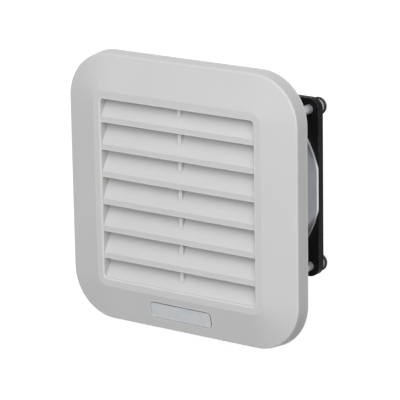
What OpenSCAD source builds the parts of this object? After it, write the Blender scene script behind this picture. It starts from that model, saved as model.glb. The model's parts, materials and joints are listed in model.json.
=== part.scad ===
// Cabinet filter fan: a louvred cover hinged on a panel frame, a filter mat behind the louvre,
// and a square axial fan bolted to the back of the frame.
// Millimetres. The origin is the centre of the panel cut-out, on the outer face of the panel.
// +X is to the right, -Y points out of the cabinet towards the room, and +Z is up.

/* [Panel] */
// Side of the square cut-out in the cabinet panel
cutout_w = 125; // [123:0.5:128]
// Gap between the frame's duct and the edge of the cut-out, on each side
cutout_play = 0.5; // [0.3:0.1:1]
// Thinnest panel that the latches grip
panel_t = 1.5; // [1:0.1:2.5]
// Spacing of the four screw holes in the flange, both ways
panel_screw_pitch = 142; // [141:0.5:146]
// Diameter of the flange's screw holes
panel_screw_d = 4.5; // [3.5:0.1:5]

/* [Cover] */
// Side of the cover where it meets the panel
cover_w = 180; // [176:1:190]
// How far each side of the skirt leans in from the panel to the front edge
cover_draft = 1; // [0.5:0.1:1.5]
// Wall of the cover
cover_wall = 2.2; // [1.8:0.1:2.6]
// Height of the front edge above the panel
skirt_depth = 10.5; // [9:0.5:12]
// Gap between the skirt and the panel
skirt_gap = 0.8; // [0.5:0.1:1.2]
// Radius of the rounded front edge
edge_fillet = 1.3; // [0.6:0.1:2]
// Length of the badge recess
badge_w = 48.6; // [30:0.2:60]
// Height of the badge recess
badge_h = 12; // [6:0.2:13]
// Depth of the badge recess
badge_depth = 0.6; // [0.3:0.1:0.9]
// Distance of the badge below the louvre opening
badge_drop = 16; // [14:0.5:18]

/* [Louvre] */
// Side of the square louvre opening
opening_w = 120; // [116:0.5:122]
// Corner radius of the louvre opening
opening_corner_r = 2.8; // [2:0.1:5]
// Width of the flat land round the opening
land_w = 5.4; // [4:0.1:7]
// Radius of the land's inner edge
lip_r = 0.7; // [0.4:0.1:1]
// Depth of the lip round the opening
lip_depth = 4.8; // [4.6:0.1:6]
// Thickness of the lip and of the cheeks that carry the slats
lip_wall = 1.8; // [1.4:0.1:2.4]
// Distance from one slat to the next
slat_pitch = 18.2; // [15:0.2:22]
// Full height of a slat
slat_h = 16.2; // [12:0.2:17]
// Height of a slat's upright front band
slat_band = 4.2; // [2.5:0.1:5.5]
// Slope of a slat's blade above level, in degrees
slat_angle = 60; // [50:1:68]
// Thickness of a slat
slat_wall = 1.8; // [1.4:0.1:2.4]
// Radius of a slat's front edges
slat_edge_r = 0.6; // [0.3:0.1:0.8]
// How far the slats stand behind the land
slat_setback = 1.2; // [0.8:0.1:1.8]
// How far the lowest slat starts below the opening
sill_drop = 5.2; // [4.6:0.1:6]
// Width of the middle rib
rib_w = 2.5; // [1.8:0.1:4]
// How far the middle rib stands behind the slats' front bands
rib_setback = 3; // [1:0.1:4]
// Gap between the back of the louvre and the frame's flange
louvre_clear = 1.5; // [1:0.1:2]

/* [Hinge and snaps] */
// Distance between the two hinge knuckles
hinge_spacing = 90; // [60:1:110]
// Width of a hinge knuckle
knuckle_w = 8; // [6:0.5:12]
// Diameter of the hinge pins moulded in the cover
hinge_pin_d = 1.6; // [1.4:0.1:1.7]
// Height of the hinge axis above the panel
hinge_h = 2.5; // [2.4:0.1:2.8]
// Running clearance round a hinge pin
hinge_play = 0.05; // [0.03:0.01:0.1]
// Wall of a hinge clip
clip_wall = 0.7; // [0.6:0.1:0.8]
// Clearance beside and around a hinge knuckle
knuckle_clear = 0.5; // [0.3:0.1:0.8]
// Distance between the two snap fingers
snap_spacing = 90; // [60:1:110]
// Width of a snap finger
snap_w = 10; // [6:0.5:14]
// Gap between a snap finger's bead and the flange
snap_clear = 0.3; // [0.3:0.05:0.6]

/* [Frame] */
// Gap between the flange and the inside of the cover's skirt
flange_clear = 3.8; // [3:0.1:5]
// Thickness of the flange
flange_t = 3; // [2.4:0.1:4]
// Thickness of the panel gasket
gasket_t = 2; // [1.5:0.1:3]
// Width of the panel gasket's band
gasket_band = 12; // [10:0.5:14]
// Wall of the duct
duct_wall = 2; // [1.6:0.1:2.6]
// Depth of the duct behind the panel's face
duct_depth = 25; // [23:0.5:32]
// Depth of the filter pocket behind the panel's face
pocket_depth = 9; // [7:0.5:10]
// Depth of the filter grid's bars
grid_t = 4; // [2.5:0.5:5]
// Width of the filter grid's bars
grid_bar = 2; // [1.4:0.1:3]
// Spacing of the filter grid's bars
grid_pitch = 24; // [16:1:30]
// Thickness of the frame's back wall
back_wall = 2.5; // [2:0.1:4]
// Diameter of the fan screw bosses
boss_d = 9.4; // [8:0.2:11]
// Width of a panel latch
latch_w = 14; // [8:1:20]
// How far a latch's teeth stand out from the duct
latch_reach = 2.4; // [1.6:0.1:3]

/* [Filter] */
// Thickness of the filter mat
mat_t = 12; // [10:0.5:13]
// Gap between the filter mat and the duct, on each side
mat_play = 0.4; // [0.3:0.1:1]

/* [Fan housing] */
// Side of the fan's square flanges
fan_w = 119; // [118:0.5:121]
// Depth of the fan
fan_depth = 38; // [36:0.5:44]
// Spacing of the fan's mounting holes, both ways
fan_hole_pitch = 104.8; // [104:0.1:106]
// Diameter of the fan's mounting holes
fan_hole_d = 4.5; // [4.3:0.1:5]
// Thickness of the fan's flanges
fan_flange_t = 5.5; // [4:0.1:6]
// Corner radius of the fan's flanges
fan_corner_r = 7.5; // [5:0.5:9]
// Inside diameter of the round fan tube
tube_d = 114; // [110:0.5:114.5]
// Wall of the round fan tube, which the flanges' sides cut flat
tube_wall = 4; // [3:0.1:5]
// Radius of the flared ends of the tube
flare_r = 1.6; // [0.8:0.1:2]
// Number of struts that carry the motor
strut_count = 4; // [3:1:5]
// Angle of the first strut, in degrees from +X
strut_angle = 32; // [28:1:36]
// Width of a strut
strut_w = 7; // [6:0.5:10]
// Diameter of the motor plate
plate_d = 68; // [64:0.5:72]
// Thickness of the motor plate and of the struts
plate_t = 4; // [3.5:0.1:5]
// How far the motor plate stands inside the fan's back face
plate_inset = 0.5; // [0.3:0.1:2]

/* [Impeller] */
// Diameter of the impeller's hub
hub_d = 67; // [66:0.5:70]
// Wall of the impeller's hub
hub_wall = 2; // [1.6:0.1:2.4]
// How far the hub's face stands inside the fan's front face
hub_recess = 3; // [2:0.5:5]
// Gap between the hub's open end and the motor plate
hub_clear = 2.5; // [2:0.1:4]
// Number of blades
blade_count = 7; // [5:1:9]
// Thickness of a blade
blade_t = 1.7; // [1.2:0.1:2.4]
// Turn of a blade from its front edge to its back edge, in degrees
blade_twist = 46; // [35:1:55]
// How far a blade's tip leads its root, in degrees
blade_sweep = 9; // [0:1:14]
// Distance of the blades from the hub's ends
blade_margin = 2; // [1:0.5:4]
// Gap between the blade tips and the tube
tip_gap = 1.6; // [1:0.1:3]

/* [Motor] */
// Diameter of the shaft
shaft_d = 4; // [3:0.1:5]
// Running clearance round the shaft
shaft_play = 0.05; // [0.02:0.01:0.09]
// Outside diameter of the bushes
bush_d = 10; // [8:0.2:11]
// Length of a bush
bush_l = 8; // [5:0.5:9]
// Wall of the bearing tube
bearing_wall = 2; // [1.6:0.1:2.4]
// Gap in the seats of pressed pieces
seat_gap = 0.02; // [0.01:0.01:0.05]
// Wall of the rotor cup
cup_wall = 1.2; // [0.8:0.1:1.6]
// Thickness of the rotor ring
ring_t = 4.2; // [3:0.1:4.6]
// Air gap between the stator and the rotor ring
air_gap = 0.4; // [0.3:0.05:0.6]
// Width of a stator pole's leg
pole_w = 8; // [6:0.5:9]
// Radial thickness of a pole shoe
shoe_t = 4.4; // [4:0.1:5]
// Half of the angle that a pole shoe spans, in degrees
shoe_half_angle = 36; // [34:1:38]
// Wall of a coil bobbin
bobbin_wall = 0.7; // [0.5:0.1:0.9]
// Thickness of a coil's winding
winding_t = 3; // [2:0.1:3.2]
// Gap between a coil and the pole shoe outside it
coil_clear = 0.5; // [0.3:0.1:1]
// How far a coil stands out from each end of the stator's stack
coil_overhang = 3.8; // [3.6:0.1:4.5]
// Gap between the coils and the rotor cup
coil_front_gap = 0.8; // [0.6:0.1:1.5]
// Gap between the coils and the motor plate
coil_back_gap = 4.5; // [4.5:0.1:5]
// Thickness of a shading ring's bars
shade_bar = 1.1; // [0.8:0.1:1.3]
// Thickness of a thrust washer
thrust_t = 0.4; // [0.3:0.05:0.6]
// Free end play of the rotor
end_play = 0.1; // [0.05:0.01:0.2]
// Thickness of the retaining clip
clip_t = 0.6; // [0.5:0.1:0.8]
// Thickness of the bearing cap
cap_t = 1.4; // [1:0.1:1.6]
// Diameter of a motor lead
lead_d = 1.5; // [1.2:0.1:1.7]

/* [Terminals] */
// Thickness of the terminal block outside the fan tube
block_t = 4.2; // [3.6:0.1:5]
// Width of the terminal block
block_w = 14; // [12:0.5:16]
// Height of the terminal block along the fan's axis
block_h = 10; // [7:0.5:12]
// Width of a terminal blade
blade_tab_w = 2.8; // [2.4:0.1:3.2]
// Thickness of a terminal blade
blade_tab_t = 0.8; // [0.5:0.1:1]
// Length of a terminal blade outside the block
blade_tab_l = 8; // [6:0.5:9]

/* [Fasteners and guard] */
// Thread diameter of the fan screws
screw_d = 4; // [3.5:0.1:4.2]
// Length of a fan screw inside its boss
screw_grip = 9; // [7:0.5:11]
// Diameter of a screw head
head_d = 8; // [7:0.2:9]
// Height of a screw head
head_h = 2.4; // [2:0.1:3.4]
// Diameter of a screw washer
washer_d = 11; // [10.6:0.2:12]
// Thickness of a screw washer
washer_t = 0.8; // [0.6:0.1:1.4]
// Diameter of the collars that hold the guard off the fan
collar_d = 9.6; // [9:0.2:10]
// Length of a guard collar
collar_l = 5; // [4:0.5:7]
// Outside diameter of the spacer sleeves between the fan's flanges
sleeve_d = 6; // [5.6:0.1:7]
// Wire of the finger guard
wire_d = 1.4; // [1.2:0.1:2]
// Radius of the guard's smallest ring
guard_first_r = 8; // [6:0.5:9]
// Distance from one guard ring to the next
guard_pitch = 9; // [8:0.5:12]

/* [Hidden] */
$fn = 64;

// A cut reaches this far past the face that it opens
cut = 1;
// A lying face is kept this far from a round wire, so that they touch without overlap
touch = 0.05;
// A wire's bend is filled by a ball this much wider than the wire
bend_bulge = 1.06;

// Cover: the profile's distances are measured outward from the centre of the corner radius
corner_c = opening_w / 2 - opening_corner_r;
flange_h = gasket_t + flange_t;
slat_run = (slat_h - slat_band) / tan(slat_angle);
slat_depth = slat_run + slat_wall * sin(slat_angle);
louvre_back = flange_h + louvre_clear;
slat_front = louvre_back + slat_depth;
crown_h = slat_front + slat_setback;
u_back = cover_w / 2 - corner_c;
u_front = u_back - cover_draft;
u_land = opening_corner_r + land_w;
u_open = opening_corner_r;
crown_slope = atan((crown_h - skirt_depth) / (u_front - u_land));
fillet_steps = 5;
slat_first = -opening_w / 2 - sill_drop;
slat_count = floor((opening_w / 2 - slat_band - slat_first) / slat_pitch) + 1;
badge_y = -opening_w / 2 - badge_drop;

// Hinge: the pins lie in the skirt's wall, and the clips round them stay inside the cover's outline
hinge_inset = 0.1;
hinge_clip_r = hinge_pin_d / 2 + hinge_play + clip_wall;
hinge_y = -(cover_w / 2 - hinge_inset - hinge_clip_r);
pin_seat = 2;
// Width of a clip's mouth, as a share of the pin that snaps through it
mouth_share = 0.8;

// Frame
flange_w = cover_w - 2 * (cover_draft + cover_wall + flange_clear);
flange_corner_r = flange_w / 2 - corner_c;
duct_w = cutout_w - 2 * cutout_play;
duct_in = duct_w - 2 * duct_wall;
duct_corner_r = 3;
gasket_in = panel_screw_pitch - gasket_band;
gasket_w = panel_screw_pitch + gasket_band;
gasket_corner_r = gasket_band / 2;
latch_teeth = 3;
tooth_pitch = 1.5;
tooth_bite = 0.9;
latch_l = 13;
snap_finger_t = 1.8;
snap_bead = 0.6;

// Fan, from the frame's back face to the fan's back face
fan_front = -duct_depth;
fan_back = fan_front - fan_depth;
hole_xy = fan_hole_pitch / 2;
tube_r = tube_d / 2;
tube_out_r = tube_r + tube_wall;
plate_back = fan_back + plate_inset;
plate_front = plate_back + plate_t;
// How far the flanges and struts reach into the tube's wall, and the struts into the plate
tube_seat = 2.4;
strut_root = 4;
strut_taper = 1;
strut_step = 360 / strut_count;
lead_strut = strut_angle + strut_step * floor(180 / strut_step);

// Impeller
hub_front = fan_front - hub_recess;
hub_back = plate_front + hub_clear;
hub_r = hub_d / 2;
hub_floor = hub_front - hub_wall;
hub_nose_r = 3;
tip_r = tube_r - tip_gap;
root_r = hub_r - hub_wall / 2;
blade_chord = hub_front - hub_back - 2 * blade_margin;
blade_pitch = blade_chord / (blade_twist * PI / 180);
blade_steps = 5;
blade_slices = 8;

// Rotor and stator, from the front to the back
cup_r = hub_r - hub_wall - seat_gap;
cup_front = hub_floor - touch;
cup_floor = cup_front - cup_wall;
cup_inset = 2;
cup_back = hub_back + cup_inset;
coil_front = cup_floor - coil_front_gap;
coil_back = plate_front + coil_back_gap;
stack_front = coil_front - coil_overhang;
stack_back = coil_back + coil_overhang;
stack_l = stack_front - stack_back;
stack_mid = (stack_front + stack_back) / 2;
ring_r = cup_r - cup_wall - seat_gap;
stator_r = ring_r - ring_t - air_gap;
shoe_in_r = stator_r - shoe_t;
bearing_in_r = bush_d / 2 + seat_gap;
bearing_r = bearing_in_r + bearing_wall;
core_hub_wall = 3.5;
core_hub_r = bearing_r + core_hub_wall;
cup_boss_step = 1;
cup_boss_r = bush_d / 2 - cup_boss_step;
thrust_rim = 0.5;
thrust_d = 2 * (cup_boss_r - thrust_rim);
shaft_r = shaft_d / 2;
bush_front = stack_front;
cap_front = plate_back + cap_t;
bearing_back = cap_front + touch;
rear_bush_back = bearing_back + 2 * (thrust_t + clip_t) + 2 * end_play;
cup_boss_back = bush_front + thrust_t + 2 * end_play;
clip_front = rear_bush_back - thrust_t - 2 * end_play;
clip_groove = shaft_d / 8;
shaft_back = bearing_back + end_play;

// Stator details
bobbin_in_w = pole_w + 2 * touch;
bobbin_in_h = stack_l + 2 * touch;
coil_in_w = bobbin_in_w + 2 * bobbin_wall + 2 * touch;
coil_in_h = bobbin_in_h + 2 * bobbin_wall + 2 * touch;
coil_root_gap = 1;
coil_in_r = core_hub_r + coil_root_gap;
coil_half_w = coil_in_w / 2 + winding_t;
coil_out_r = sqrt(pow(shoe_in_r - coil_clear, 2) - pow(coil_half_w, 2));
shade_turn = 10;
shade_angle = shoe_half_angle - shade_turn;
shade_in_w = 9;
shade_inset = 2.4;
shade_r = stator_r - shade_inset;
shade_depth = 2;

// Terminals and leads, at the end of the lead strut
block_play = 0.15;
block_in_r = tube_out_r + block_play;
block_root = 4;
tab_spacing = 6.4;
tab_r = block_in_r + block_t / 2;
block_back = fan_back + fan_flange_t;
lead_gap = 0.6;
lead_spread = (lead_d + lead_gap) / 2;
lead_bore_play = 0.65;
lead_bore_d = 2 * (lead_spread + lead_d / 2 + lead_bore_play);
lead_start_r = (coil_in_r + coil_out_r) / 2;
lead_clear = 2;
lead_drop_r = stator_r + lead_clear;
lead_channel = 2.2;
lead_h = plate_back + lead_channel / 2;

// Guard and fasteners, behind the fan: each eyelet lies on a collar's rim, and the rings on the legs
collar_back = fan_back - collar_l;
eyelet_seat = 0.5;
eyelet_d = collar_d - eyelet_seat;
eyelet_r = (eyelet_d + wire_d) / 2;
eyelet_h = collar_back - wire_d / 2 - touch;
weld_rise = 0.8 * wire_d;
ring_h = eyelet_h - weld_rise;
leg_slack = 0.2;
leg_d = wire_d - leg_slack;
leg_end_r = hole_xy * sqrt(2) - eyelet_r;
guard_rings = floor((tube_r - guard_first_r) / guard_pitch) + 1;
washer_front = eyelet_h - wire_d / 2 - touch;
head_front = washer_front - washer_t;
screw_tip = fan_front + screw_grip;
screw_play = 0.05;
screw_bore_r = screw_d / 2 + screw_play;
screw_chamfer = 0.5;
boss_tip_room = 1;
boss_bore_l = screw_grip + boss_tip_room;

// Stands the panel's drawing plane upright: its X is right, its Y is up and its Z points out of the panel
module on_panel() {
    rotate([90, 0, 0]) children();
}

// Repeats the children at the four mounting holes of the fan
module at_fan_holes() {
    for (sx = [-1, 1], sy = [-1, 1]) {
        translate([sx * hole_xy, sy * hole_xy, 0]) children();
    }
}

// Repeats the children at plus and minus half of a spacing along X
module at_pair(spacing) {
    for (s = [-1, 1]) {
        translate([s * spacing / 2, 0, 0]) children();
    }
}

module rounded_square(side, r) {
    square([side - 2 * r, side], center = true);
    square([side, side - 2 * r], center = true);
    for (sx = [-1, 1], sy = [-1, 1]) {
        translate([sx * (side / 2 - r), sy * (side / 2 - r)]) circle(r);
    }
}

// A flat ring: outside diameter, inside diameter and the heights of its two faces
module ring(outer_d, inner_d, top, bottom) {
    translate([0, 0, bottom]) linear_extrude(top - bottom) difference() {
        circle(d = outer_d);
        circle(d = inner_d);
    }
}

// Sweeps a profile round a square with round corners. The profile is drawn as distance outward from
// the corners' centres, which lie c from the middle, against height.
module swept_square(c) {
    for (turn = [0 : 90 : 270]) rotate(turn) {
        translate([c, 0, 0]) rotate([90, 0, 0]) linear_extrude(2 * c, center = true) children();
        translate([c, c, 0]) rotate_extrude(angle = 90) children();
    }
}

// Extrudes a profile of points [y, height] along X
module along_x(length) {
    rotate([90, 0, 90]) linear_extrude(length, center = true) children();
}

// Height of the crowned border at a distance from the corners' centres
function crown_at(u) = skirt_depth + (u_front - u) * tan(crown_slope);

// Points of an arc of radius r about a centre, from one angle to another
function arc(centre, r, from, to) = [for (i = [0 : fillet_steps])
    let (a = from + (to - from) * i / fillet_steps)
    centre + r * [cos(a), sin(a)]];

// One wall of the cover, from the back of the skirt over the crowned border to the lip of the opening
module cover_profile() {
    edge_h = skirt_depth - edge_fillet * (1 - sin(crown_slope)) / cos(crown_slope);
    polygon(concat(
        [[u_back, skirt_gap]],
        arc([u_front - edge_fillet, edge_h], edge_fillet, 0, 90 - crown_slope),
        [[u_land, crown_h]],
        arc([u_open + lip_r, crown_h - lip_r], lip_r, 90, 180),
        [
            [u_open, crown_h - lip_depth],
            [u_open + lip_wall, crown_h - lip_depth],
            [u_open + lip_wall, crown_h - cover_wall],
            [u_land, crown_h - cover_wall],
            [u_front - cover_wall, skirt_depth - cover_wall],
            [u_back - cover_wall, skirt_gap]
        ]
    ));
}

// One slat: an upright front band with rounded edges, and a blade that slopes up and back
module slat_profile() {
    lean = 90 - slat_angle;
    top_front = [slat_h, slat_front - slat_run];
    top_back = top_front - slat_wall * [cos(slat_angle), sin(slat_angle)];
    inner_bend = slat_band - slat_wall * tan(lean / 2);
    edge_h = slat_front - slat_edge_r;
    polygon(concat(
        arc([slat_edge_r, edge_h], slat_edge_r, 180, 90),
        arc([slat_band - slat_edge_r * tan(lean / 2), edge_h], slat_edge_r, 90, slat_angle),
        [
            top_front,
            top_back,
            [inner_bend, slat_front - slat_wall],
            [0, slat_front - slat_wall]
        ]
    ));
}

module louvre() {
    cheek_low = slat_first;
    cheek_high = opening_w / 2 + lip_wall;
    for (i = [0 : slat_count - 1]) {
        translate([0, slat_first + i * slat_pitch, 0]) along_x(opening_w + lip_wall) slat_profile();
    }
    at_pair(opening_w + lip_wall) along_x(lip_wall) translate([cheek_low, louvre_back])
        square([cheek_high - cheek_low, slat_front - slat_wall - louvre_back]);
    along_x(rib_w) translate([cheek_low, louvre_back])
        square([cheek_high - cheek_low, slat_front - rib_setback - louvre_back]);
}

module badge_recess() {
    badge_end_r = badge_h / 4;
    surface_h = crown_at(-badge_y - corner_c);
    translate([0, badge_y, surface_h]) rotate([crown_slope, 0, 0]) translate([0, 0, -badge_depth])
        linear_extrude(badge_depth + cut) {
            square([badge_w - 2 * badge_end_r, badge_h], center = true);
            square([badge_w, badge_h - 2 * badge_end_r], center = true);
            for (sx = [-1, 1], sy = [-1, 1]) {
                translate([sx * (badge_w / 2 - badge_end_r), sy * (badge_h / 2 - badge_end_r)])
                    circle(badge_end_r);
            }
        }
}

// A finger with a bead that snaps over the flange's top edge
module snap_finger() {
    bead_y = flange_w / 2 + snap_clear;
    finger_y = bead_y + snap_bead;
    root_h = crown_at(finger_y + snap_finger_t - corner_c) - cover_wall / 2;
    bead_h = gasket_t - snap_clear;
    along_x(snap_w) polygon([
        [finger_y, root_h],
        [finger_y, bead_h],
        [bead_y, bead_h - snap_bead / 2],
        [finger_y, skirt_gap],
        [finger_y + snap_finger_t, skirt_gap],
        [finger_y + snap_finger_t, root_h]
    ]);
}

// Opening in the skirt for a hinge knuckle
module hinge_notch() {
    width = knuckle_w + 2 * knuckle_clear;
    depth = cover_wall + cover_draft + 2 * cut;
    low = skirt_gap - cut;
    high = hinge_h + hinge_clip_r + knuckle_clear;
    translate([-width / 2, -cover_w / 2 - cut, low]) cube([width, depth, high - low]);
}

module hinge_pin() {
    translate([0, hinge_y, hinge_h]) rotate([0, 90, 0])
        cylinder(d = hinge_pin_d, h = knuckle_w + 2 * (knuckle_clear + pin_seat), center = true);
}

module front_cover() {
    color("gainsboro") on_panel() {
        difference() {
            union() {
                swept_square(corner_c) cover_profile();
                louvre();
                at_pair(snap_spacing) snap_finger();
            }
            badge_recess();
            at_pair(hinge_spacing) hinge_notch();
        }
        at_pair(hinge_spacing) hinge_pin();
    }
}

// A ratchet tongue on the duct: teeth that catch behind the panel, and a ramp towards the back
module latch() {
    teeth = [for (k = [0 : latch_teeth - 1])
        each [
            [latch_reach, -panel_t - k * tooth_pitch],
            [latch_reach - tooth_bite, -panel_t - (k + 1) * tooth_pitch]
        ]];
    translate([0, duct_w / 2, 0]) along_x(latch_w) polygon(concat(
        [[-duct_wall / 2, -panel_t]],
        teeth,
        [[0, -panel_t - latch_l], [-duct_wall / 2, -panel_t - latch_l]]
    ));
}

// A strap from the flange that ends in a clip round the cover's hinge pin
module hinge_clip() {
    strap_top = -flange_w / 2 + flange_t;
    translate([-knuckle_w / 2, hinge_y, hinge_h - hinge_clip_r])
        cube([knuckle_w, strap_top - hinge_y, 2 * hinge_clip_r]);
    translate([0, hinge_y, hinge_h]) rotate([0, 90, 0])
        cylinder(r = hinge_clip_r, h = knuckle_w, center = true);
}

module hinge_clip_cut() {
    mouth = mouth_share * hinge_pin_d;
    translate([0, hinge_y, hinge_h]) {
        rotate([0, 90, 0])
            cylinder(d = hinge_pin_d + 2 * hinge_play, h = knuckle_w + 2 * cut, center = true);
        translate([-knuckle_w / 2 - cut, -mouth / 2, 0])
            cube([knuckle_w + 2 * cut, mouth, hinge_clip_r + cut]);
    }
}

module filter_grid() {
    side = duct_in / 2 - grid_bar;
    count = floor(side / grid_pitch);
    translate([0, 0, -pocket_depth - grid_t]) linear_extrude(grid_t) {
        for (i = [-count : count]) {
            translate([i * grid_pitch, 0]) square([grid_bar, duct_in + duct_wall], center = true);
            translate([0, i * grid_pitch]) square([duct_in + duct_wall, grid_bar], center = true);
        }
    }
}

module base_frame() {
    color("lightgray") on_panel() difference() {
        union() {
            translate([0, 0, gasket_t]) linear_extrude(flange_t) difference() {
                rounded_square(flange_w, flange_corner_r);
                square(duct_in, center = true);
            }
            translate([0, 0, -duct_depth]) linear_extrude(duct_depth + gasket_t + flange_t / 2) difference() {
                rounded_square(duct_w, duct_corner_r);
                square(duct_in, center = true);
            }
            translate([0, 0, -duct_depth]) linear_extrude(back_wall) difference() {
                square(duct_in + duct_wall, center = true);
                circle(tube_r + flare_r);
            }
            filter_grid();
            at_fan_holes() translate([0, 0, -duct_depth]) cylinder(d = boss_d, h = duct_depth - pocket_depth);
            for (turn = [0 : 90 : 270]) rotate(turn) latch();
            at_pair(hinge_spacing) hinge_clip();
        }
        at_fan_holes() translate([0, 0, -duct_depth - cut]) cylinder(r = screw_bore_r, h = boss_bore_l + cut);
        for (sx = [-1, 1], sy = [-1, 1]) {
            translate([sx * panel_screw_pitch / 2, sy * panel_screw_pitch / 2, gasket_t - cut])
                cylinder(d = panel_screw_d, h = flange_t + 2 * cut);
        }
        at_pair(hinge_spacing) hinge_clip_cut();
    }
}

module panel_gasket() {
    color("dimgray") on_panel() linear_extrude(gasket_t) difference() {
        rounded_square(gasket_w, gasket_corner_r);
        square(gasket_in, center = true);
        for (sx = [-1, 1], sy = [-1, 1]) {
            translate([sx * panel_screw_pitch / 2, sy * panel_screw_pitch / 2]) circle(d = panel_screw_d);
        }
    }
}

module filter_mat() {
    side = duct_in - 2 * mat_play;
    color("whitesmoke") on_panel() translate([0, 0, -pocket_depth]) linear_extrude(mat_t)
        square(side, center = true);
}

module fan_flange(front) {
    translate([0, 0, front - fan_flange_t]) linear_extrude(fan_flange_t) difference() {
        rounded_square(fan_w, fan_corner_r);
        circle(tube_r + tube_seat);
        at_fan_holes() circle(d = fan_hole_d);
    }
}

// The round tube between the flanges, with flared ends and four sides cut flush with the flanges
module fan_tube() {
    flare_centre = tube_r + flare_r;
    intersection() {
        rotate_extrude() polygon(concat(
            arc([flare_centre, fan_front - flare_r], flare_r, 90, 180),
            arc([flare_centre, fan_back + flare_r], flare_r, 180, 270),
            [[tube_out_r, fan_back], [tube_out_r, fan_front]]
        ));
        translate([0, 0, fan_back - cut]) linear_extrude(fan_depth + 2 * cut) square(fan_w, center = true);
    }
}

// A strut that thins towards its front edge
module strut() {
    root = plate_d / 2 - strut_root;
    translate([root, 0, plate_back]) rotate([90, 0, 90]) linear_extrude(tube_r + tube_seat - root) polygon([
        [-strut_w / 2, 0],
        [strut_w / 2, 0],
        [strut_w / 2 - strut_taper, plate_t],
        [-strut_w / 2 + strut_taper, plate_t]
    ]);
}

// Channel in the back of the lead strut, and the two openings that the leads pass through
module lead_channel_cut() {
    rotate(lead_strut) {
        translate([lead_drop_r, -lead_bore_d / 2, plate_back - plate_inset - cut])
            cube([tab_r - lead_drop_r, lead_bore_d, lead_channel + plate_inset + cut]);
        for (r = [lead_drop_r, tab_r]) {
            translate([r, 0, fan_back - cut]) cylinder(d = lead_bore_d, h = fan_flange_t + 2 * cut);
        }
    }
}

module fan_housing() {
    color("#1b1b1d") on_panel() difference() {
        union() {
            fan_flange(fan_front);
            fan_flange(fan_back + fan_flange_t);
            fan_tube();
            translate([0, 0, plate_back]) cylinder(d = plate_d, h = plate_t);
            for (i = [0 : strut_count - 1]) rotate(strut_angle + i * strut_step) strut();
        }
        translate([0, 0, plate_back - cut]) cylinder(r = bearing_r + seat_gap, h = plate_t + 2 * cut);
        lead_channel_cut();
    }
}

module bearing_tube() {
    color("lightslategray") on_panel() ring(2 * bearing_r, 2 * bearing_in_r, stack_front, bearing_back);
}

module bush(top) {
    color("peru") on_panel() ring(bush_d, shaft_d + 2 * shaft_play, top, top - bush_l);
}

module front_bush() {
    bush(bush_front);
}

module rear_bush() {
    bush(rear_bush_back + bush_l);
}

// Repeats the children at the four poles, with X pointing outward
module at_poles() {
    for (turn = [0 : 90 : 270]) rotate(lead_strut + turn) children();
}

// Places a drawing of width against stack height so that it faces outward at radius r
module facing_out(r, depth) {
    translate([r, 0, stack_mid]) rotate([90, 0, 90]) linear_extrude(depth) children();
}

module shading_slot() {
    rotate(shade_angle) facing_out(shade_r - touch, shade_depth + 2 * cut)
        translate([-shade_in_w / 2 - shade_bar - touch, -stack_l])
            square([shade_bar + 2 * touch, 2 * stack_l]);
}

module stator_core() {
    wedge = 2 * stator_r * [cos(shoe_half_angle), sin(shoe_half_angle)];
    color("slategray") on_panel() difference() {
        translate([0, 0, stack_back]) linear_extrude(stack_l) difference() {
            union() {
                circle(core_hub_r);
                at_poles() translate([0, -pole_w / 2]) square([shoe_in_r + shoe_t / 2, pole_w]);
                intersection() {
                    difference() {
                        circle(stator_r);
                        circle(shoe_in_r);
                    }
                    at_poles() polygon([[0, 0], [wedge[0], -wedge[1]], wedge]);
                }
            }
            circle(bearing_r + seat_gap);
        }
        at_poles() shading_slot();
    }
}

module rectangle_ring(inner_w, inner_h, wall) {
    difference() {
        square([inner_w + 2 * wall, inner_h + 2 * wall], center = true);
        square([inner_w, inner_h], center = true);
    }
}

module coil_bobbins() {
    color("ivory") on_panel() at_poles() facing_out(coil_in_r, coil_out_r - coil_in_r)
        rectangle_ring(bobbin_in_w, bobbin_in_h, bobbin_wall);
}

module stator_coils() {
    axial_t = coil_overhang - (coil_in_h - stack_l) / 2;
    color("chocolate") on_panel() at_poles() facing_out(coil_in_r, coil_out_r - coil_in_r) difference() {
        square([coil_in_w + 2 * winding_t, coil_in_h + 2 * axial_t], center = true);
        square([coil_in_w, coil_in_h], center = true);
    }
}

module shading_rings() {
    color("darkorange") on_panel() at_poles() rotate(shade_angle) facing_out(shade_r, shade_depth)
        rectangle_ring(shade_in_w, stack_l + 2 * touch, shade_bar);
}

// A straight piece of round wire from p to q, both given as [radius, height]
module wire(p, q, d) {
    span = norm(q - p);
    lean = atan2(q[0] - p[0], q[1] - p[1]);
    translate([p[0], 0, p[1]]) rotate([0, lean, 0]) cylinder(d = d, h = span);
}

// Round wire along a path of points [radius, height], with rounded bends
module wire_path(points, d) {
    last = len(points) - 1;
    for (i = [0 : last - 1]) wire(points[i], points[i + 1], d);
    for (i = [1 : last - 1]) translate([points[i][0], 0, points[i][1]]) sphere(d = bend_bulge * d);
}

module motor_leads() {
    turn_h = (coil_back + plate_front) / 2;
    path = [
        [lead_start_r, coil_back - lead_d / 2 - touch],
        [lead_start_r, turn_h],
        [lead_drop_r, turn_h],
        [lead_drop_r, lead_h],
        [tab_r, lead_h],
        [tab_r, block_back - lead_d / 2 - touch]
    ];
    color("royalblue") on_panel() rotate(lead_strut) {
        for (s = [-1, 1]) translate([0, s * lead_spread, 0]) wire_path(path, lead_d);
    }
}

module at_tabs() {
    rotate(lead_strut) for (s = [-1, 1]) translate([tab_r, s * tab_spacing / 2, block_back]) children();
}

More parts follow.
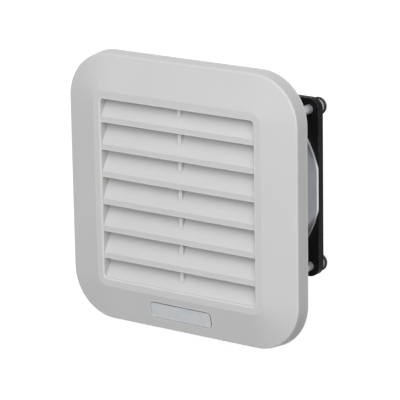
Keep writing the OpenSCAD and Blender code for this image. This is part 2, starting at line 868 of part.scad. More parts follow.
module terminal_block() {
    slot = 2 * touch;
    color("black") on_panel() difference() {
        rotate(lead_strut) translate([block_in_r - block_root, -block_w / 2, block_back])
            cube([block_root + block_t, block_w, block_h]);
        translate([0, 0, block_back - cut]) cylinder(r = block_in_r, h = block_h + 2 * cut);
        at_tabs() translate([-blade_tab_t / 2 - touch, -blade_tab_w / 2 - touch, block_h / 3 - touch])
            cube([blade_tab_t + slot, blade_tab_w + slot, block_h]);
    }
}

module terminal_blades() {
    color("silver") on_panel() at_tabs() translate([-blade_tab_t / 2, -blade_tab_w / 2, block_h / 3])
        cube([blade_tab_t, blade_tab_w, block_h * 2 / 3 + blade_tab_l]);
}

module bearing_cap() {
    color("black") on_panel() translate([0, 0, plate_back]) cylinder(r = bearing_r, h = cap_t);
}

module spacer_sleeves() {
    color("silver") on_panel() at_fan_holes()
        ring(sleeve_d, fan_hole_d, fan_front - fan_flange_t, fan_back + fan_flange_t);
}

module guard_collars() {
    color("silver") on_panel() at_fan_holes() ring(collar_d, fan_hole_d, fan_back, collar_back);
}

// A ring of the guard's wire about the axis, at a height
module wire_ring(r, h) {
    translate([0, 0, h]) rotate_extrude() translate([r, 0]) circle(d = wire_d);
}

module finger_guard() {
    color("#5a5c60") on_panel() {
        for (i = [0 : guard_rings - 1]) wire_ring(guard_first_r + i * guard_pitch, ring_h);
        for (turn = [45 : 90 : 315]) rotate(turn)
            wire([guard_first_r - wire_d, eyelet_h], [leg_end_r, eyelet_h], leg_d);
        at_fan_holes() wire_ring(eyelet_r, eyelet_h);
    }
}

module screw_washers() {
    color("silver") on_panel() at_fan_holes() ring(washer_d, fan_hole_d, washer_front, head_front);
}

module fan_screw() {
    dome = head_h / 3;
    recess_w = 0.15 * head_d;
    recess_l = 0.6 * head_d;
    difference() {
        rotate_extrude() polygon([
            [0, screw_tip],
            [screw_d / 2 - screw_chamfer, screw_tip],
            [screw_d / 2, screw_tip - screw_chamfer],
            [screw_d / 2, head_front],
            [head_d / 2, head_front],
            [head_d / 2, head_front - head_h + dome],
            [head_d / 2 - dome, head_front - head_h],
            [0, head_front - head_h]
        ]);
        for (turn = [0, 90]) translate([0, 0, head_front - head_h]) rotate(turn)
            cube([recess_l, recess_w, head_h], center = true);
    }
}

module fan_screws() {
    color("lightgray") on_panel() at_fan_holes() fan_screw();
}

// A blade's thickness round the axis, which its slope makes wider than the blade itself
function blade_width(r) = blade_t / sin(atan(blade_pitch / r));

// One side of a blade's outline, from the root to the tip
function blade_edge(side) = [for (i = [0 : blade_steps])
    let (
        share = i / blade_steps,
        r = root_r + share * (tip_r - root_r),
        a = blade_sweep * share * share + side * blade_width(r) / 2 / r * 180 / PI
    )
    r * [cos(a), sin(a)]];

module blade() {
    front_side = blade_edge(1);
    back_side = blade_edge(-1);
    outline = concat(back_side, [for (i = [blade_steps : -1 : 0]) front_side[i]]);
    translate([0, 0, hub_back + blade_margin])
        linear_extrude(blade_chord, twist = blade_twist, slices = blade_slices, segments = len(outline))
            polygon(outline);
}

module impeller_hub() {
    nose = arc([hub_r - hub_nose_r, hub_front - hub_nose_r], hub_nose_r, 0, 90);
    rotate_extrude() polygon(concat(
        [[hub_r - hub_wall, hub_back], [hub_r, hub_back]],
        nose,
        [[0, hub_front], [0, hub_floor], [hub_r - hub_wall, hub_floor]]
    ));
}

module impeller() {
    color("#26262a") on_panel() {
        impeller_hub();
        for (i = [0 : blade_count - 1]) rotate(i * 360 / blade_count) blade();
    }
}

module rotor_cup() {
    color("silver") on_panel() rotate_extrude() polygon([
        [shaft_r + seat_gap, cup_front],
        [cup_r, cup_front],
        [cup_r, cup_back],
        [cup_r - cup_wall, cup_back],
        [cup_r - cup_wall, cup_floor],
        [cup_boss_r, cup_floor],
        [cup_boss_r, cup_boss_back],
        [shaft_r + seat_gap, cup_boss_back]
    ]);
}

module rotor_ring() {
    color("gray") on_panel() ring(2 * ring_r, 2 * (ring_r - ring_t), stack_front, stack_back);
}

module shaft() {
    color("silver") on_panel() rotate_extrude() polygon([
        [0, cup_front],
        [shaft_r, cup_front],
        [shaft_r, clip_front],
        [shaft_r - clip_groove, clip_front],
        [shaft_r - clip_groove, clip_front - clip_t],
        [shaft_r, clip_front - clip_t],
        [shaft_r, shaft_back],
        [0, shaft_back]
    ]);
}

module thrust_washer(top) {
    ring(thrust_d, shaft_d + 2 * seat_gap, top, top - thrust_t);
}

module thrust_washers() {
    color("goldenrod") on_panel() {
        thrust_washer(bush_front + end_play + thrust_t);
        thrust_washer(rear_bush_back - end_play);
    }
}

module retaining_clip() {
    groove_d = shaft_d - 2 * clip_groove;
    color("darkgray") on_panel()
        ring(thrust_d, groove_d + 2 * seat_gap, clip_front - seat_gap, clip_front - clip_t + seat_gap);
}

front_cover();
base_frame();
panel_gasket();
filter_mat();
fan_housing();
bearing_tube();
front_bush();
rear_bush();
stator_core();
coil_bobbins();
stator_coils();
shading_rings();
motor_leads();
terminal_block();
terminal_blades();
bearing_cap();
spacer_sleeves();
guard_collars();
finger_guard();
screw_washers();
fan_screws();
impeller();
rotor_cup();
rotor_ring();
shaft();
thrust_washers();
retaining_clip();
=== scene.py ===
"""Looks for the cabinet filter fan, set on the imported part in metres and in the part's own frame."""

import json
import math

import bpy
from mathutils import Matrix, Vector, noise

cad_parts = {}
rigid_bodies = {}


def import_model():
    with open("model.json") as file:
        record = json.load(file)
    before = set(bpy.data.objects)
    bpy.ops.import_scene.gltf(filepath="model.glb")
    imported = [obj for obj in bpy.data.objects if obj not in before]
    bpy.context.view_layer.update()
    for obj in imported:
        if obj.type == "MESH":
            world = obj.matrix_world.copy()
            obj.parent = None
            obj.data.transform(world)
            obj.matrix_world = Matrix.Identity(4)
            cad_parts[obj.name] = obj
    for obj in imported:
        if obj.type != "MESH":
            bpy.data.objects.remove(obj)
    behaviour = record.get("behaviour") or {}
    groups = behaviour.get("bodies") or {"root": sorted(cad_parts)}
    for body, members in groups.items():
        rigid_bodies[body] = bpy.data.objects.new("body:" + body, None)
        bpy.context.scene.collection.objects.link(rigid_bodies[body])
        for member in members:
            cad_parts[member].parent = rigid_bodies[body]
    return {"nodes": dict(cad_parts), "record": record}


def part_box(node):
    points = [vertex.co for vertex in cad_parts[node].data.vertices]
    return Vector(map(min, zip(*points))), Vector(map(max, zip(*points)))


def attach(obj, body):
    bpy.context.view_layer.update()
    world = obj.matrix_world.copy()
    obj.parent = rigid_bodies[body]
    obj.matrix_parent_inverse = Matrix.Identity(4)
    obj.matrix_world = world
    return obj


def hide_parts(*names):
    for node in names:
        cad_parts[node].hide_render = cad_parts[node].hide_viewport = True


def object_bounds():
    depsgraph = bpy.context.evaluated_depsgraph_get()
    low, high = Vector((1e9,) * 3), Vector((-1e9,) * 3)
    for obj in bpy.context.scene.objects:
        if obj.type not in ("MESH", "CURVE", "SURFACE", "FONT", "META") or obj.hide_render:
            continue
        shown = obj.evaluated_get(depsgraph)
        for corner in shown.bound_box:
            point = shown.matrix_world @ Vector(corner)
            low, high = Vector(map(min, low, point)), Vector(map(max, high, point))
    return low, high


# Blender's own start-up objects
for leftover in list(bpy.data.objects):
    bpy.data.objects.remove(leftover)
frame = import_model()
cad_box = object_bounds()
scene = bpy.context.scene
MM = 0.001

# Nodes and objects


def feed(tree, socket, value):
    """Links a socket to another one, or sets it to a value."""
    if isinstance(value, bpy.types.NodeSocket):
        tree.links.new(value, socket)
    else:
        socket.default_value = value


def add_node(tree, kind, inputs=None, **settings):
    """A new node with its settings, and with its inputs linked or set."""
    node = tree.nodes.new(kind)
    for key, value in settings.items():
        setattr(node, key, value)
    for socket, value in (inputs or {}).items():
        feed(tree, node.inputs[socket], value)
    return node


def add_object(name, data):
    made = bpy.data.objects.new(name, data)
    scene.collection.objects.link(made)
    return made


# Materials


class Surface:
    """A Principled material whose colour, roughness and bump are built up layer by layer."""

    def __init__(self, name, colour, rough, constants):
        self.material = bpy.data.materials.new(name)
        self.material.use_nodes = True
        self.tree = self.material.node_tree
        self.shader = self.tree.nodes["Principled BSDF"]
        self.place = self.add("ShaderNodeTexCoord").outputs["Object"]
        self.colour = (*colour, 1.0)
        self.rough = rough
        self.normal = None
        for socket, value in constants.items():
            self.shader.inputs[socket].default_value = value

    def add(self, kind, inputs=None, **settings):
        return add_node(self.tree, kind, inputs, **settings)

    def scaled(self, size, stretch=(1, 1, 1)):
        """The object's own coordinates, so that one unit is size metres, drawn out along each axis."""
        scale = [1 / (size * s) for s in stretch]
        return self.add("ShaderNodeMapping", {"Vector": self.place, "Scale": scale}).outputs["Vector"]

    def noise(self, size, detail=3.0, stretch=(1, 1, 1)):
        """Noise about 0.5, with features about size metres across."""
        inputs = {"Vector": self.scaled(size, stretch), "Scale": 1.0, "Detail": detail}
        return self.add("ShaderNodeTexNoise", inputs).outputs[0]

    def cells(self, size):
        """Distance from the middle of the nearest of many cells, each about size metres across."""
        inputs = {"Vector": self.scaled(size), "Scale": 1.0}
        return self.add("ShaderNodeTexVoronoi", inputs).outputs["Distance"]

    def bands(self, size, axis, waviness=0.0):
        """Parallel bands across an axis, about size metres from one to the next."""
        wave_radians_per_unit = 20
        one_per_unit = 2 * math.pi / wave_radians_per_unit
        inputs = {"Vector": self.scaled(size), "Scale": one_per_unit, "Distortion": waviness}
        return self.add("ShaderNodeTexWave", inputs, bands_direction=axis).outputs["Fac"]

    def span(self, value, rise, amount=(0, 1)):
        """Value, stretched so that the two ends of rise become the two ends of amount."""
        inputs = {"Value": value, "From Min": rise[0], "From Max": rise[1]}
        inputs.update({"To Min": amount[0], "To Max": amount[1]})
        return self.add("ShaderNodeMapRange", inputs).outputs["Result"]

    def patches(self, size, rise, amount=(0, 1), detail=3.0):
        """A mask of cloudy patches about size metres across: noise stretched from rise to amount."""
        return self.span(self.noise(size, detail), rise, amount)

    def times(self, a, b):
        return self.add("ShaderNodeMath", {0: a, 1: b}, operation="MULTIPLY").outputs[0]

    def mix(self, kind, mask, below, above):
        """What lies above over what lies below, as far as mask goes from 0 to 1."""
        # The node's sockets for numbers and for colours share their names, so they go by their places
        first, second, result = {"FLOAT": (2, 3, 0), "RGBA": (6, 7, 2)}[kind]
        node = self.add("ShaderNodeMix", {0: mask, first: below, second: above}, data_type=kind)
        return node.outputs[result]

    def tint(self, mask, colour):
        """Paints colour over what is there, as far as mask goes."""
        self.colour = self.mix("RGBA", mask, self.colour, (*colour, 1.0))

    def polish(self, mask, rough):
        """Takes the roughness towards rough, as far as mask goes."""
        self.rough = self.mix("FLOAT", mask, self.rough, rough)

    def bump(self, height, depth):
        """Raises the surface by depth metres where height is 1."""
        inputs = {"Strength": 1.0, "Distance": depth, "Height": height}
        if self.normal is not None:
            inputs["Normal"] = self.normal
        self.normal = self.add("ShaderNodeBump", inputs).outputs["Normal"]

    def edges(self, radius):
        """Rounds the edges in the shading, and returns a mask of them."""
        rounded = self.add("ShaderNodeBevel", {"Radius": radius}, samples=6).outputs["Normal"]
        facing = self.add("ShaderNodeNewGeometry").outputs["Normal"]
        agree = self.add("ShaderNodeVectorMath", {0: rounded, 1: facing}, operation="DOT_PRODUCT")
        self.normal = rounded
        return self.span(agree.outputs["Value"], rise=(0.995, 0.8))

    def rims(self, reach):
        """A mask of the outer edges and fillets, where the matter behind them is thin within reach."""
        inputs = {"Distance": reach}
        depth = self.add("ShaderNodeAmbientOcclusion", inputs, samples=16, inside=True, only_local=True)
        return self.span(depth.outputs["AO"], rise=(0.97, 0.8))

    def corners(self, reach):
        """A mask of the places that stand close behind something, where dust settles."""
        open_sky = self.add("ShaderNodeAmbientOcclusion", {"Distance": reach}, samples=6).outputs["AO"]
        return self.span(open_sky, rise=(0.75, 0.15))

    def done(self):
        feed(self.tree, self.shader.inputs["Base Color"], self.colour)
        feed(self.tree, self.shader.inputs["Roughness"], self.rough)
        if self.normal is not None:
            feed(self.tree, self.shader.inputs["Normal"], self.normal)
        return self.material


# Colours of the clean finishes, in linear light
COVER_GREY = (0.602, 0.606, 0.600)
FRAME_GREY = (0.520, 0.527, 0.515)
PAINT_BLACK = (0.008, 0.008, 0.009)
WIRE_BLACK = (0.045, 0.046, 0.049)
PLASTIC_BLACK = (0.013, 0.013, 0.014)
FOAM_BLACK = (0.045, 0.046, 0.048)
FLEECE_WHITE = (0.80, 0.80, 0.77)
NYLON_CREAM = (0.70, 0.66, 0.55)
SLEEVE_BLUE = (0.03, 0.06, 0.20)
ZINC = (0.66, 0.67, 0.68)
MOTOR_STEEL = (0.40, 0.41, 0.43)
BRONZE = (0.48, 0.27, 0.11)
COPPER = (0.55, 0.20, 0.07)
SILVER = (0.50, 0.515, 0.525)
LABEL_GREY = (0.25, 0.265, 0.295)
LABEL_WHITE = (0.90, 0.90, 0.91)
# Colours of wear, stains and dust
WORN_PAINT = (0.35, 0.35, 0.36)
WORN_WIRE = (0.45, 0.45, 0.46)
RUST = (0.16, 0.07, 0.03)
ZINC_STAIN = (0.57, 0.59, 0.63)
BRONZE_STAIN = (0.24, 0.13, 0.06)
SILVER_STAIN = (0.42, 0.44, 0.46)
PALE_DUST = (0.42, 0.40, 0.36)
PAINT_DUST = (0.09, 0.085, 0.075)
DARK_DUST = (0.06, 0.055, 0.05)
FLEECE_DUST = (0.58, 0.55, 0.49)
PLASTIC_IOR = 1.5
# Low, because the studio is white all round
PAINT_GLOSS = 0.06


def shade(colour, factor):
    return tuple(min(1.0, c * factor) for c in colour)


def moulded(name, colour, rough, grain, dust=PALE_DUST, gloss=0.5, rim=0.5 * MM):
    """Moulded plastic: fine spark-eroded grain, faint flow clouds, a painted edge highlight, dust in the
    corners.
    """
    s = Surface(name, colour, rough, {"IOR": PLASTIC_IOR, "Specular IOR Level": gloss})
    edge = s.edges(0.25 * MM)
    clouds = s.patches(38 * MM, rise=(0.35, 0.65), amount=(0, 0.5), detail=2)
    flecks = s.patches(0.7 * MM, rise=(0.45, 0.7), amount=(0, 0.35), detail=1)
    # Painted highlight: the outer edges and fillets are lightened in the colour, as where they catch the
    # light
    edge_highlight = s.times(s.rims(rim), s.patches(5 * MM, rise=(0.35, 0.65), amount=(0.6, 0.9)))
    dusty = s.times(s.corners(7 * MM), s.patches(3 * MM, rise=(0.3, 0.7), amount=(0.1, 0.25)))
    handled = s.patches(14 * MM, rise=(0.3, 0.7))
    s.tint(clouds, shade(colour, 0.955))
    s.tint(flecks, shade(colour, 1.05))
    s.tint(edge_highlight, shade(colour, 1.2))
    s.tint(dusty, dust)
    s.polish(handled, rough * 0.84)
    s.polish(edge, rough * 0.75)
    s.bump(s.noise(0.42 * MM, detail=2), grain)
    s.bump(s.noise(16 * MM, detail=1), 5 * grain)
    return s.done()


def painted(name, colour, rough, worn_colour, peel):
    """Stoved black paint on metal: orange peel, specks, and worn edges with the metal showing."""
    s = Surface(name, colour, rough, {"IOR": PLASTIC_IOR, "Specular IOR Level": PAINT_GLOSS})
    edge = s.edges(0.35 * MM)
    clouds = s.patches(22 * MM, rise=(0.35, 0.7), amount=(0, 0.6))
    specks = s.patches(0.5 * MM, rise=(0.62, 0.75), amount=(0, 0.5), detail=1)
    worn = s.times(edge, s.patches(2.2 * MM, rise=(0.52, 0.66), detail=4))
    dusty = s.times(s.corners(6 * MM), s.patches(2 * MM, rise=(0.4, 0.75), amount=(0, 0.3)))
    handled = s.patches(9 * MM, rise=(0.35, 0.7))
    s.tint(clouds, shade(colour, 1.7))
    s.tint(specks, shade(colour, 3.0))
    s.tint(worn, worn_colour)
    s.tint(dusty, PAINT_DUST)
    s.polish(handled, rough * 0.8)
    s.polish(worn, 0.35)
    s.bump(s.noise(1.1 * MM, detail=2), peel)
    return s.done()


def metal(name, colour, rough, stain, grain_size, stretch=(1, 1, 1), bare=1.0):
    """Bare or plated metal: drawn or brushed grain, cloudy stains and brighter edges, bare from 0 to 1."""
    s = Surface(name, colour, rough, {"Metallic": bare})
    edge = s.edges(0.2 * MM)
    lines = s.noise(grain_size, stretch=stretch)
    stains = s.patches(4 * MM, rise=(0.42, 0.72), amount=(0, 0.6), detail=4)
    bright = s.times(edge, s.patches(2 * MM, rise=(0.3, 0.6)))
    smooth = s.patches(6 * MM, rise=(0.45, 0.7), amount=(0, 0.7))
    s.tint(stains, stain)
    s.tint(s.span(lines, rise=(0.35, 0.7), amount=(0, 0.35)), shade(colour, 0.72))
    s.tint(bright, shade(colour, 1.2))
    s.polish(s.span(lines, rise=(0.3, 0.7)), rough * 1.5)
    s.polish(smooth, rough * 0.7)
    s.bump(lines, 0.01 * MM)
    return s.done()


def laminated(name, colour, sheet_t):
    """A stack of thin steel sheets: fine dark joints across the fan's axis, with a few rust stains."""
    s = Surface(name, colour, 0.42, {"Metallic": 0.9})
    joints = s.bands(sheet_t, "Y")
    rusty = s.patches(5 * MM, rise=(0.55, 0.75), amount=(0, 0.5), detail=4)
    dull = s.patches(3 * MM, rise=(0.3, 0.7))
    s.tint(s.span(joints, rise=(0.35, 0.05), amount=(0, 0.8)), shade(colour, 0.3))
    s.tint(rusty, RUST)
    s.polish(dull, 0.55)
    s.bump(joints, 0.05 * MM)
    return s.done()


def wound(name, colour, wire_t):
    """Enamelled copper wire laid in turns round the fan's radial poles."""
    s = Surface(name, colour, 0.3, {"Metallic": 0.85, "Coat Weight": 0.6, "Coat Roughness": 0.15})
    turns = s.bands(wire_t, "DIAGONAL", waviness=0.4)
    bright = s.patches(3 * MM, rise=(0.4, 0.7), amount=(0, 0.5))
    dull = s.patches(2 * MM, rise=(0.3, 0.7))
    s.tint(s.span(turns, rise=(0.4, 0.0), amount=(0, 0.85)), shade(colour, 0.25))
    s.tint(bright, shade(colour, 1.35))
    s.polish(dull, 0.45)
    s.bump(turns, 0.15 * MM)
    return s.done()


def foamed(name, colour):
    """Closed-cell rubber foam, with open cells on its cut sides, their pits painted darker as shade."""
    s = Surface(name, colour, 0.9, {"Sheen Weight": 0.2, "Sheen Roughness": 0.6})
    cell = s.cells(0.8 * MM)
    faded = s.patches(7 * MM, rise=(0.4, 0.7), amount=(0, 0.5))
    # Painted shade: the cells are darkened towards their middles, where the bump sinks into pits
    s.tint(s.span(cell, rise=(0.45, 0.1), amount=(0, 0.7)), shade(colour, 0.45))
    s.tint(faded, shade(colour, 1.5))
    s.polish(s.span(cell, rise=(0.2, 0.5)), 0.75)
    s.bump(cell, 0.25 * MM)
    return s.done()


def fleece(name, colour):
    """Needled polyester fleece: a tangle of fine fibres lying both ways, with soft hollows painted darker
    as shade.
    """
    s = Surface(name, colour, 0.95, {"Sheen Weight": 0.5, "Sheen Roughness": 0.5})
    fibre_t = 0.35 * MM
    level = s.noise(fibre_t, detail=4, stretch=(9, 1, 1))
    upright = s.noise(fibre_t, detail=4, stretch=(1, 1, 9))
    hollow = s.noise(3.5 * MM)
    dusty = s.patches(30 * MM, rise=(0.5, 0.75), amount=(0, 0.35))
    # Painted shade: the fleece is darkened where its hollows lie low
    s.tint(s.span(hollow, rise=(0.5, 0.3), amount=(0, 0.45)), shade(colour, 0.72))
    s.tint(s.span(level, rise=(0.55, 0.7), amount=(0, 0.5)), shade(colour, 1.12))
    s.tint(s.span(upright, rise=(0.55, 0.7), amount=(0, 0.5)), shade(colour, 0.86))
    s.tint(dusty, FLEECE_DUST)
    s.polish(s.span(level, rise=(0.4, 0.7)), 0.8)
    s.bump(level, 0.3 * MM)
    s.bump(upright, 0.3 * MM)
    s.bump(hollow, 0.8 * MM)
    return s.done()


def foil(name, colour, rough):
    """Label film: faint rolling lines, small creases and a clear top coat."""
    s = Surface(name, colour, rough, {"Metallic": 0.35, "Coat Weight": 0.4, "Coat Roughness": 0.12})
    lines = s.noise(0.4 * MM, detail=2, stretch=(1, 30, 1))
    clouds = s.patches(12 * MM, rise=(0.45, 0.7), amount=(0, 0.4))
    dull = s.patches(5 * MM, rise=(0.4, 0.7), detail=4)
    s.tint(s.span(lines, rise=(0.35, 0.7), amount=(0, 0.35)), shade(colour, 0.88))
    s.tint(clouds, shade(colour, 0.9))
    s.polish(dull, rough * 1.35)
    s.bump(s.noise(6 * MM, detail=2), 0.08 * MM)
    s.bump(lines, 0.005 * MM)
    return s.done()


DARK_PLASTIC = {"dust": DARK_DUST, "gloss": 0.25}
ALONG_FAN = (1, 6, 1)
ALONG_BADGE = (25, 1, 1)
LOOKS = {
    # The cover's wider rim reach spreads the painted edge highlight over its front-edge fillet
    "cover_plastic": (moulded, dict(
        colour=COVER_GREY, rough=0.44, grain=0.03 * MM, gloss=0.25, rim=1.6 * MM
    )),
    "frame_plastic": (moulded, dict(colour=FRAME_GREY, rough=0.5, grain=0.035 * MM, gloss=0.25)),
    "gasket_foam": (foamed, dict(colour=FOAM_BLACK)),
    "filter_fleece": (fleece, dict(colour=FLEECE_WHITE)),
    "housing_black": (painted, dict(colour=PAINT_BLACK, rough=0.5, worn_colour=WORN_PAINT, peel=0.03 * MM)),
    "impeller_black": (moulded, dict(colour=PLASTIC_BLACK, rough=0.45, grain=0.008 * MM, **DARK_PLASTIC)),
    "zinc_steel": (metal, dict(
        colour=ZINC, rough=0.36, stain=ZINC_STAIN, grain_size=0.5 * MM, stretch=ALONG_FAN, bare=0.6
    )),
    "guard_wire": (painted, dict(colour=WIRE_BLACK, rough=0.34, worn_colour=WORN_WIRE, peel=0.012 * MM)),
    "motor_steel": (laminated, dict(colour=MOTOR_STEEL, sheet_t=0.5 * MM)),
    "bush_bronze": (metal, dict(colour=BRONZE, rough=0.38, stain=BRONZE_STAIN, grain_size=0.3 * MM)),
    "winding_copper": (wound, dict(colour=COPPER, wire_t=0.4 * MM)),
    "bobbin_nylon": (moulded, dict(colour=NYLON_CREAM, rough=0.45, grain=0.008 * MM)),
    "lead_sleeve": (moulded, dict(colour=SLEEVE_BLUE, rough=0.38, grain=0.006 * MM, **DARK_PLASTIC)),
    "terminal_black": (moulded, dict(colour=PLASTIC_BLACK, rough=0.48, grain=0.01 * MM, **DARK_PLASTIC)),
    "badge_silver": (metal, dict(
        colour=SILVER, rough=0.33, stain=SILVER_STAIN, grain_size=0.25 * MM, stretch=ALONG_BADGE
    )),
    "label_foil": (foil, dict(colour=LABEL_GREY, rough=0.36)),
}
SLOTS = {slot: make(slot + "_look", **values) for slot, (make, values) in LOOKS.items()}
label_border = foil("label_border_look", colour=LABEL_WHITE, rough=0.4)

for row in frame["record"]["subparts"]:
    node = frame["nodes"][row["node"]]
    node.data.materials.clear()
    node.data.materials.append(SLOTS[row["material_slot"]])

# Pieces

SHARP_ANGLE = math.radians(40)


def piece(name, points, faces, body, slot):
    """A new mesh that rides on a body and takes its finish from one of the record's slots."""
    mesh = bpy.data.meshes.new(name)
    mesh.from_pydata([tuple(p) for p in points], [], faces)
    mesh.materials.append(SLOTS[slot])
    mesh.shade_smooth()
    mesh.set_sharp_from_angle(angle=SHARP_ANGLE)
    made = add_object(name, mesh)
    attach(made, body)
    return made


def ring_faces(rings, count):
    """Quads between closed rings of count points each, then a cap on the first and on the last ring."""
    faces = []
    for k in range(rings - 1):
        for i in range(count):
            j = (i + 1) % count
            faces.append((k * count + i, k * count + j, (k + 1) * count + j, (k + 1) * count + i))
    faces.append(tuple(reversed(range(count))))
    faces.append(tuple(range((rings - 1) * count, rings * count)))
    return faces


def slab_faces(columns, rows):
    """A closed slab of two layers on one grid: a face of each layer for every cell, then the sides."""
    layer_size = (columns + 1) * (rows + 1)

    def at(layer, i, k):
        return layer * layer_size + i * (rows + 1) + k

    faces = []
    for i in range(columns):
        for k in range(rows):
            faces.append((at(0, i, k), at(0, i + 1, k), at(0, i + 1, k + 1), at(0, i, k + 1)))
            faces.append((at(1, i, k), at(1, i, k + 1), at(1, i + 1, k + 1), at(1, i + 1, k)))
    for i in range(columns):
        faces.append((at(0, i, 0), at(1, i, 0), at(1, i + 1, 0), at(0, i + 1, 0)))
        faces.append((at(0, i, rows), at(0, i + 1, rows), at(1, i + 1, rows), at(1, i, rows)))
    for k in range(rows):
        faces.append((at(0, 0, k), at(0, 0, k + 1), at(1, 0, k + 1), at(1, 0, k)))
        faces.append((at(0, columns, k), at(1, columns, k), at(1, columns, k + 1), at(0, columns, k + 1)))
    return faces


def rounded_outline(width, height, r, steps=8):
    """Points round a rectangle with round corners."""
    points = []
    for quarter, (sx, sy) in enumerate([(1, 1), (-1, 1), (-1, -1), (1, -1)]):
        for i in range(steps + 1):
            a = math.radians(90 * (quarter + i / steps))
            x = sx * (width / 2 - r) + r * math.cos(a)
            y = sy * (height / 2 - r) + r * math.sin(a)
            points.append((x, y))
    return points


def make_badge():
    """A bare badge plate in the cover's recess: a raised rim round a flat field."""
    # The sloping border and its recess, as in the part's source
    crown = -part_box("front_cover")[0].y
    land_edge = 65.4 * MM
    front_edge = 89 * MM
    front_depth = 10.5 * MM
    drop = 76 * MM
    recess = 0.6 * MM
    slope = math.atan((crown - front_depth) / (front_edge - land_edge))
    place = Vector((0, (drop - land_edge) * math.tan(slope) - crown, -drop))
    across = Vector((1, 0, 0))
    up = Vector((0, -math.sin(slope), math.cos(slope)))
    out = Vector((0, -math.cos(slope), -math.sin(slope)))
    # The plate, with its rim and field measured from the border
    width = 47.4 * MM
    height = 10.8 * MM
    end_r = 2.4 * MM
    rim = 0.36 * MM
    rim_w = 0.75 * MM
    field = 0.12 * MM
    soft = 0.3 * MM
    profile = [(0, -recess), (0, rim - soft), (0.3 * soft, rim - 0.3 * soft), (soft, rim)]
    profile += [(rim_w, rim), (rim_w + 0.5 * soft, rim - 0.2 * soft), (rim_w + soft, field)]
    points = []
    for inset, lift in profile:
        for x, y in rounded_outline(width - 2 * inset, height - 2 * inset, end_r - inset):
            points.append(place + across * x + up * y + out * lift)
    faces = ring_faces(len(profile), len(points) // len(profile))
    piece("badge_plate", points, faces, "cover", "badge_silver")


def tube_point(along, tube_r, flat_x):
    """The place and the outward direction at a distance along the fan tube from its right side's middle."""
    flat_angle = math.acos(flat_x / tube_r)
    flat_z = tube_r * math.sin(flat_angle)
    if abs(along) <= flat_z:
        return Vector((flat_x, 0, along)), Vector((1, 0, 0))
    angle = math.copysign(flat_angle + (abs(along) - flat_z) / tube_r, along)
    out = Vector((math.cos(angle), 0, math.sin(angle)))
    return tube_r * out, out


def make_label():
    """A blank label round the right side of the fan tube, with a pale border, as thick as its film."""
    # The tube's outer radius, as in the part's source
    tube_r = 61 * MM
    flat_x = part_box("fan_housing")[1].x
    lift = 0.04 * MM
    film = 0.14 * MM
    border = 3 * MM
    front = 32 * MM
    back = 57.2 * MM
    width = back - front
    half_length = 52 * MM
    columns, rows = 60, 12
    points = []
    for height in (lift, lift + film):
        for i in range(columns + 1):
            place, out = tube_point(half_length * (2 * i / columns - 1), tube_r, flat_x)
            for k in range(rows + 1):
                y = front + width * k / rows
                points.append(place + out * height + Vector((0, y, 0)))
    label = piece("fan_label", points, slab_faces(columns, rows), "frame", "label_foil")
    label.data.materials.append(label_border)
    for i in range(columns):
        from_end = half_length * (1 - abs(2 * (i + 0.5) / columns - 1))
        for k in range(rows):
            from_side = width * min(k + 0.5, rows - k - 0.5) / rows
            if min(from_end, from_side) < border:
                # The second of the cell's two faces
                outer_face = 2 * (i * rows + k) + 1
                label.data.polygons[outer_face].material_index = 1


def rounding(edge, r):
    """How far a round edge of radius r has fallen back at a distance from the outline."""
    inside = max(0.0, r - edge)
    return r - math.sqrt(max(0.0, r * r - inside * inside))


def wool(x, depth, z):
    """Rough noise with tufts a few millimetres across."""
    per_metre = 260
    increment, lacunarity, octaves = 1.0, 2.0, 4
    return noise.fractal(Vector((x, depth, z)) * per_metre, increment, lacunarity, octaves)


def make_fleece():
    """The filter mat as a soft pad: crowned towards the room, flat where it rests on the grid."""
    low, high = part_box("filter_mat")
    play = 0.2 * MM
    half = (high.x - low.x) / 2 - play
    crown = 1.2 * MM
    front_r = 3.0 * MM
    back_r = 1.2 * MM
    tuft = 0.5 * MM
    back_tuft = 0.1 * tuft
    pull = 0.9 * MM
    # Two places far apart in the noise, so that the two faces differ
    front_slice = 0.3
    back_slice = 0.7
    steps = 90
    points = []
    for is_front in (True, False):
        for i in range(steps + 1):
            for k in range(steps + 1):
                u = 2 * i / steps - 1
                v = 2 * k / steps - 1
                outer = max(abs(u), abs(v))
                other = min(abs(u), abs(v))
                side = 1 - pull / half * (1 - other ** 2) * outer ** 4
                x = u * half * side
                z = v * half * side
                edge = half * (1 - outer)
                if is_front:
                    fall = crown * (u * u + v * v) / 2 + rounding(edge, front_r)
                    y = low.y + tuft + fall + tuft * wool(x, front_slice, z)
                else:
                    y = high.y - rounding(edge, back_r) - back_tuft * abs(wool(x, back_slice, z))
                points.append((x, y, z))
    mat = piece("filter_fleece_mat", points, slab_faces(steps, steps), "frame", "filter_fleece")
    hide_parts("filter_mat")


make_badge()
make_label()
make_fleece()

# Camera, at the photo's viewing angle

PHOTO_PX = 400


def pose_towards(target, azimuth, elevation, distance, roll=0):
    """The pose of a camera or lamp that looks at target from a distance, with its angles in degrees."""
    a, e, r = (math.radians(x) for x in (azimuth, elevation, roll))
    back = Vector((math.sin(a) * math.cos(e), -math.cos(a) * math.cos(e), math.sin(e)))
    level = Vector((math.cos(a), math.sin(a), 0))
    right = level * math.cos(r) + back.cross(level) * math.sin(r)
    turn = Matrix((right, back.cross(right), back)).transposed().to_4x4()
    return Matrix.Translation(target + back * distance) @ turn


def make_camera(focal_px, pose):
    data = bpy.data.cameras.new("photo_camera")
    data.lens = focal_px / PHOTO_PX * data.sensor_width
    camera = add_object("photo_camera", data)
    camera.matrix_world = pose
    scene.camera = camera


photo_centre = Vector((6.773, 0, -1.469)) * MM
photo_pose = pose_towards(photo_centre, azimuth=36.163, elevation=15.086, distance=1.665964, roll=-0.956)
make_camera(focal_px=2608.252, pose=photo_pose)

# Studio light and floor

WHITE = (1, 1, 1, 1)


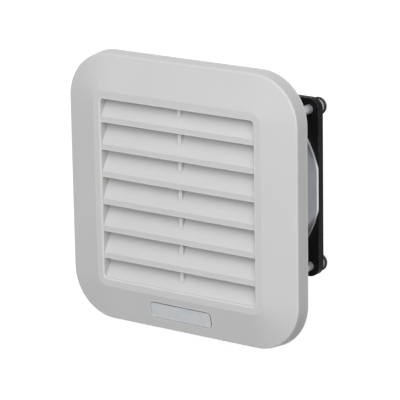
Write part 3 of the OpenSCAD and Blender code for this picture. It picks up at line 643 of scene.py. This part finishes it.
def make_lamp(name, azimuth, elevation, size, level, distance=1.5):
    """A round soft lamp aimed at the middle, where a white face turned to it renders at level."""
    data = bpy.data.lights.new(name, "AREA")
    data.shape = "DISK"
    data.size = size
    data.energy = level * math.pi ** 2 * (distance ** 2 + (size / 2) ** 2)
    lamp = add_object(name, data)
    lamp.matrix_world = pose_towards(Vector(), azimuth, elevation, distance)
    return lamp


def seen_rays(tree):
    """1 for rays that show the background: those of the camera, of reflections and of clear matter."""
    path = add_node(tree, "ShaderNodeLightPath").outputs
    seen = path["Is Camera Ray"]
    for other in ("Is Glossy Ray", "Is Transmission Ray"):
        seen = add_node(tree, "ShaderNodeMath", {0: seen, 1: path[other]}, operation="MAXIMUM").outputs[0]
    return seen


def make_world(ambient, tilt, bright_side):
    """White where it is seen. On the object it is a dim light, stronger by tilt from the bright side."""
    world = bpy.data.worlds.new("studio_world")
    world.use_nodes = True
    scene.world = world
    tree = world.node_tree
    shown = tree.nodes["Background"]
    shown.inputs["Color"].default_value = WHITE
    direction = add_node(tree, "ShaderNodeTexCoord").outputs["Generated"]
    facing = {0: direction, 1: bright_side.normalized()}
    toward = add_node(tree, "ShaderNodeVectorMath", facing, operation="DOT_PRODUCT").outputs["Value"]
    slant = {0: toward, 1: ambient * tilt, 2: ambient}
    strength = add_node(tree, "ShaderNodeMath", slant, operation="MULTIPLY_ADD").outputs[0]
    lit = add_node(tree, "ShaderNodeBackground", {"Color": WHITE, "Strength": strength})
    choice = {0: seen_rays(tree), 1: lit.outputs[0], 2: shown.outputs[0]}
    either = add_node(tree, "ShaderNodeMixShader", choice).outputs[0]
    feed(tree, tree.nodes["World Output"].inputs["Surface"], either)


def make_floor(height, half, grey, glow):
    """A pale floor that reads white where it is lit, and keeps the object's soft shadow."""
    mesh = bpy.data.meshes.new("studio_floor")
    corners = [(-half, -half, height), (half, -half, height), (half, half, height), (-half, half, height)]
    mesh.from_pydata(corners, [], [(0, 1, 2, 3)])
    material = bpy.data.materials.new("studio_floor_look")
    material.use_nodes = True
    tree = material.node_tree
    tree.nodes.remove(tree.nodes["Principled BSDF"])
    matt = add_node(tree, "ShaderNodeBsdfDiffuse", {"Color": (grey, grey, grey, 1)}).outputs[0]
    shown = add_node(tree, "ShaderNodeMath", {0: seen_rays(tree), 1: glow}, operation="MULTIPLY").outputs[0]
    bright = add_node(tree, "ShaderNodeEmission", {"Strength": shown}).outputs[0]
    both = add_node(tree, "ShaderNodeAddShader", {0: matt, 1: bright}).outputs[0]
    feed(tree, tree.nodes["Material Output"].inputs["Surface"], both)
    mesh.materials.append(material)
    floor = add_object("studio_floor", mesh)


make_lamp("key_lamp", azimuth=29, elevation=31, size=2.4, level=0.82)
back_lamp = make_lamp("back_lamp", azimuth=205, elevation=8, size=2.0, level=0.9)
# Otherwise its disc is mirrored in the cover's top side
back_lamp.visible_glossy = False
make_world(ambient=0.235, tilt=1.0, bright_side=Vector((-0.3, -0.95, 0)))
# The open cover hangs below the part at rest
open_cover_drop = 13 * MM
make_floor(height=cad_box[0].z - open_cover_drop, half=8, grey=0.25, glow=0.9)
scene.view_settings.view_transform = "Standard"
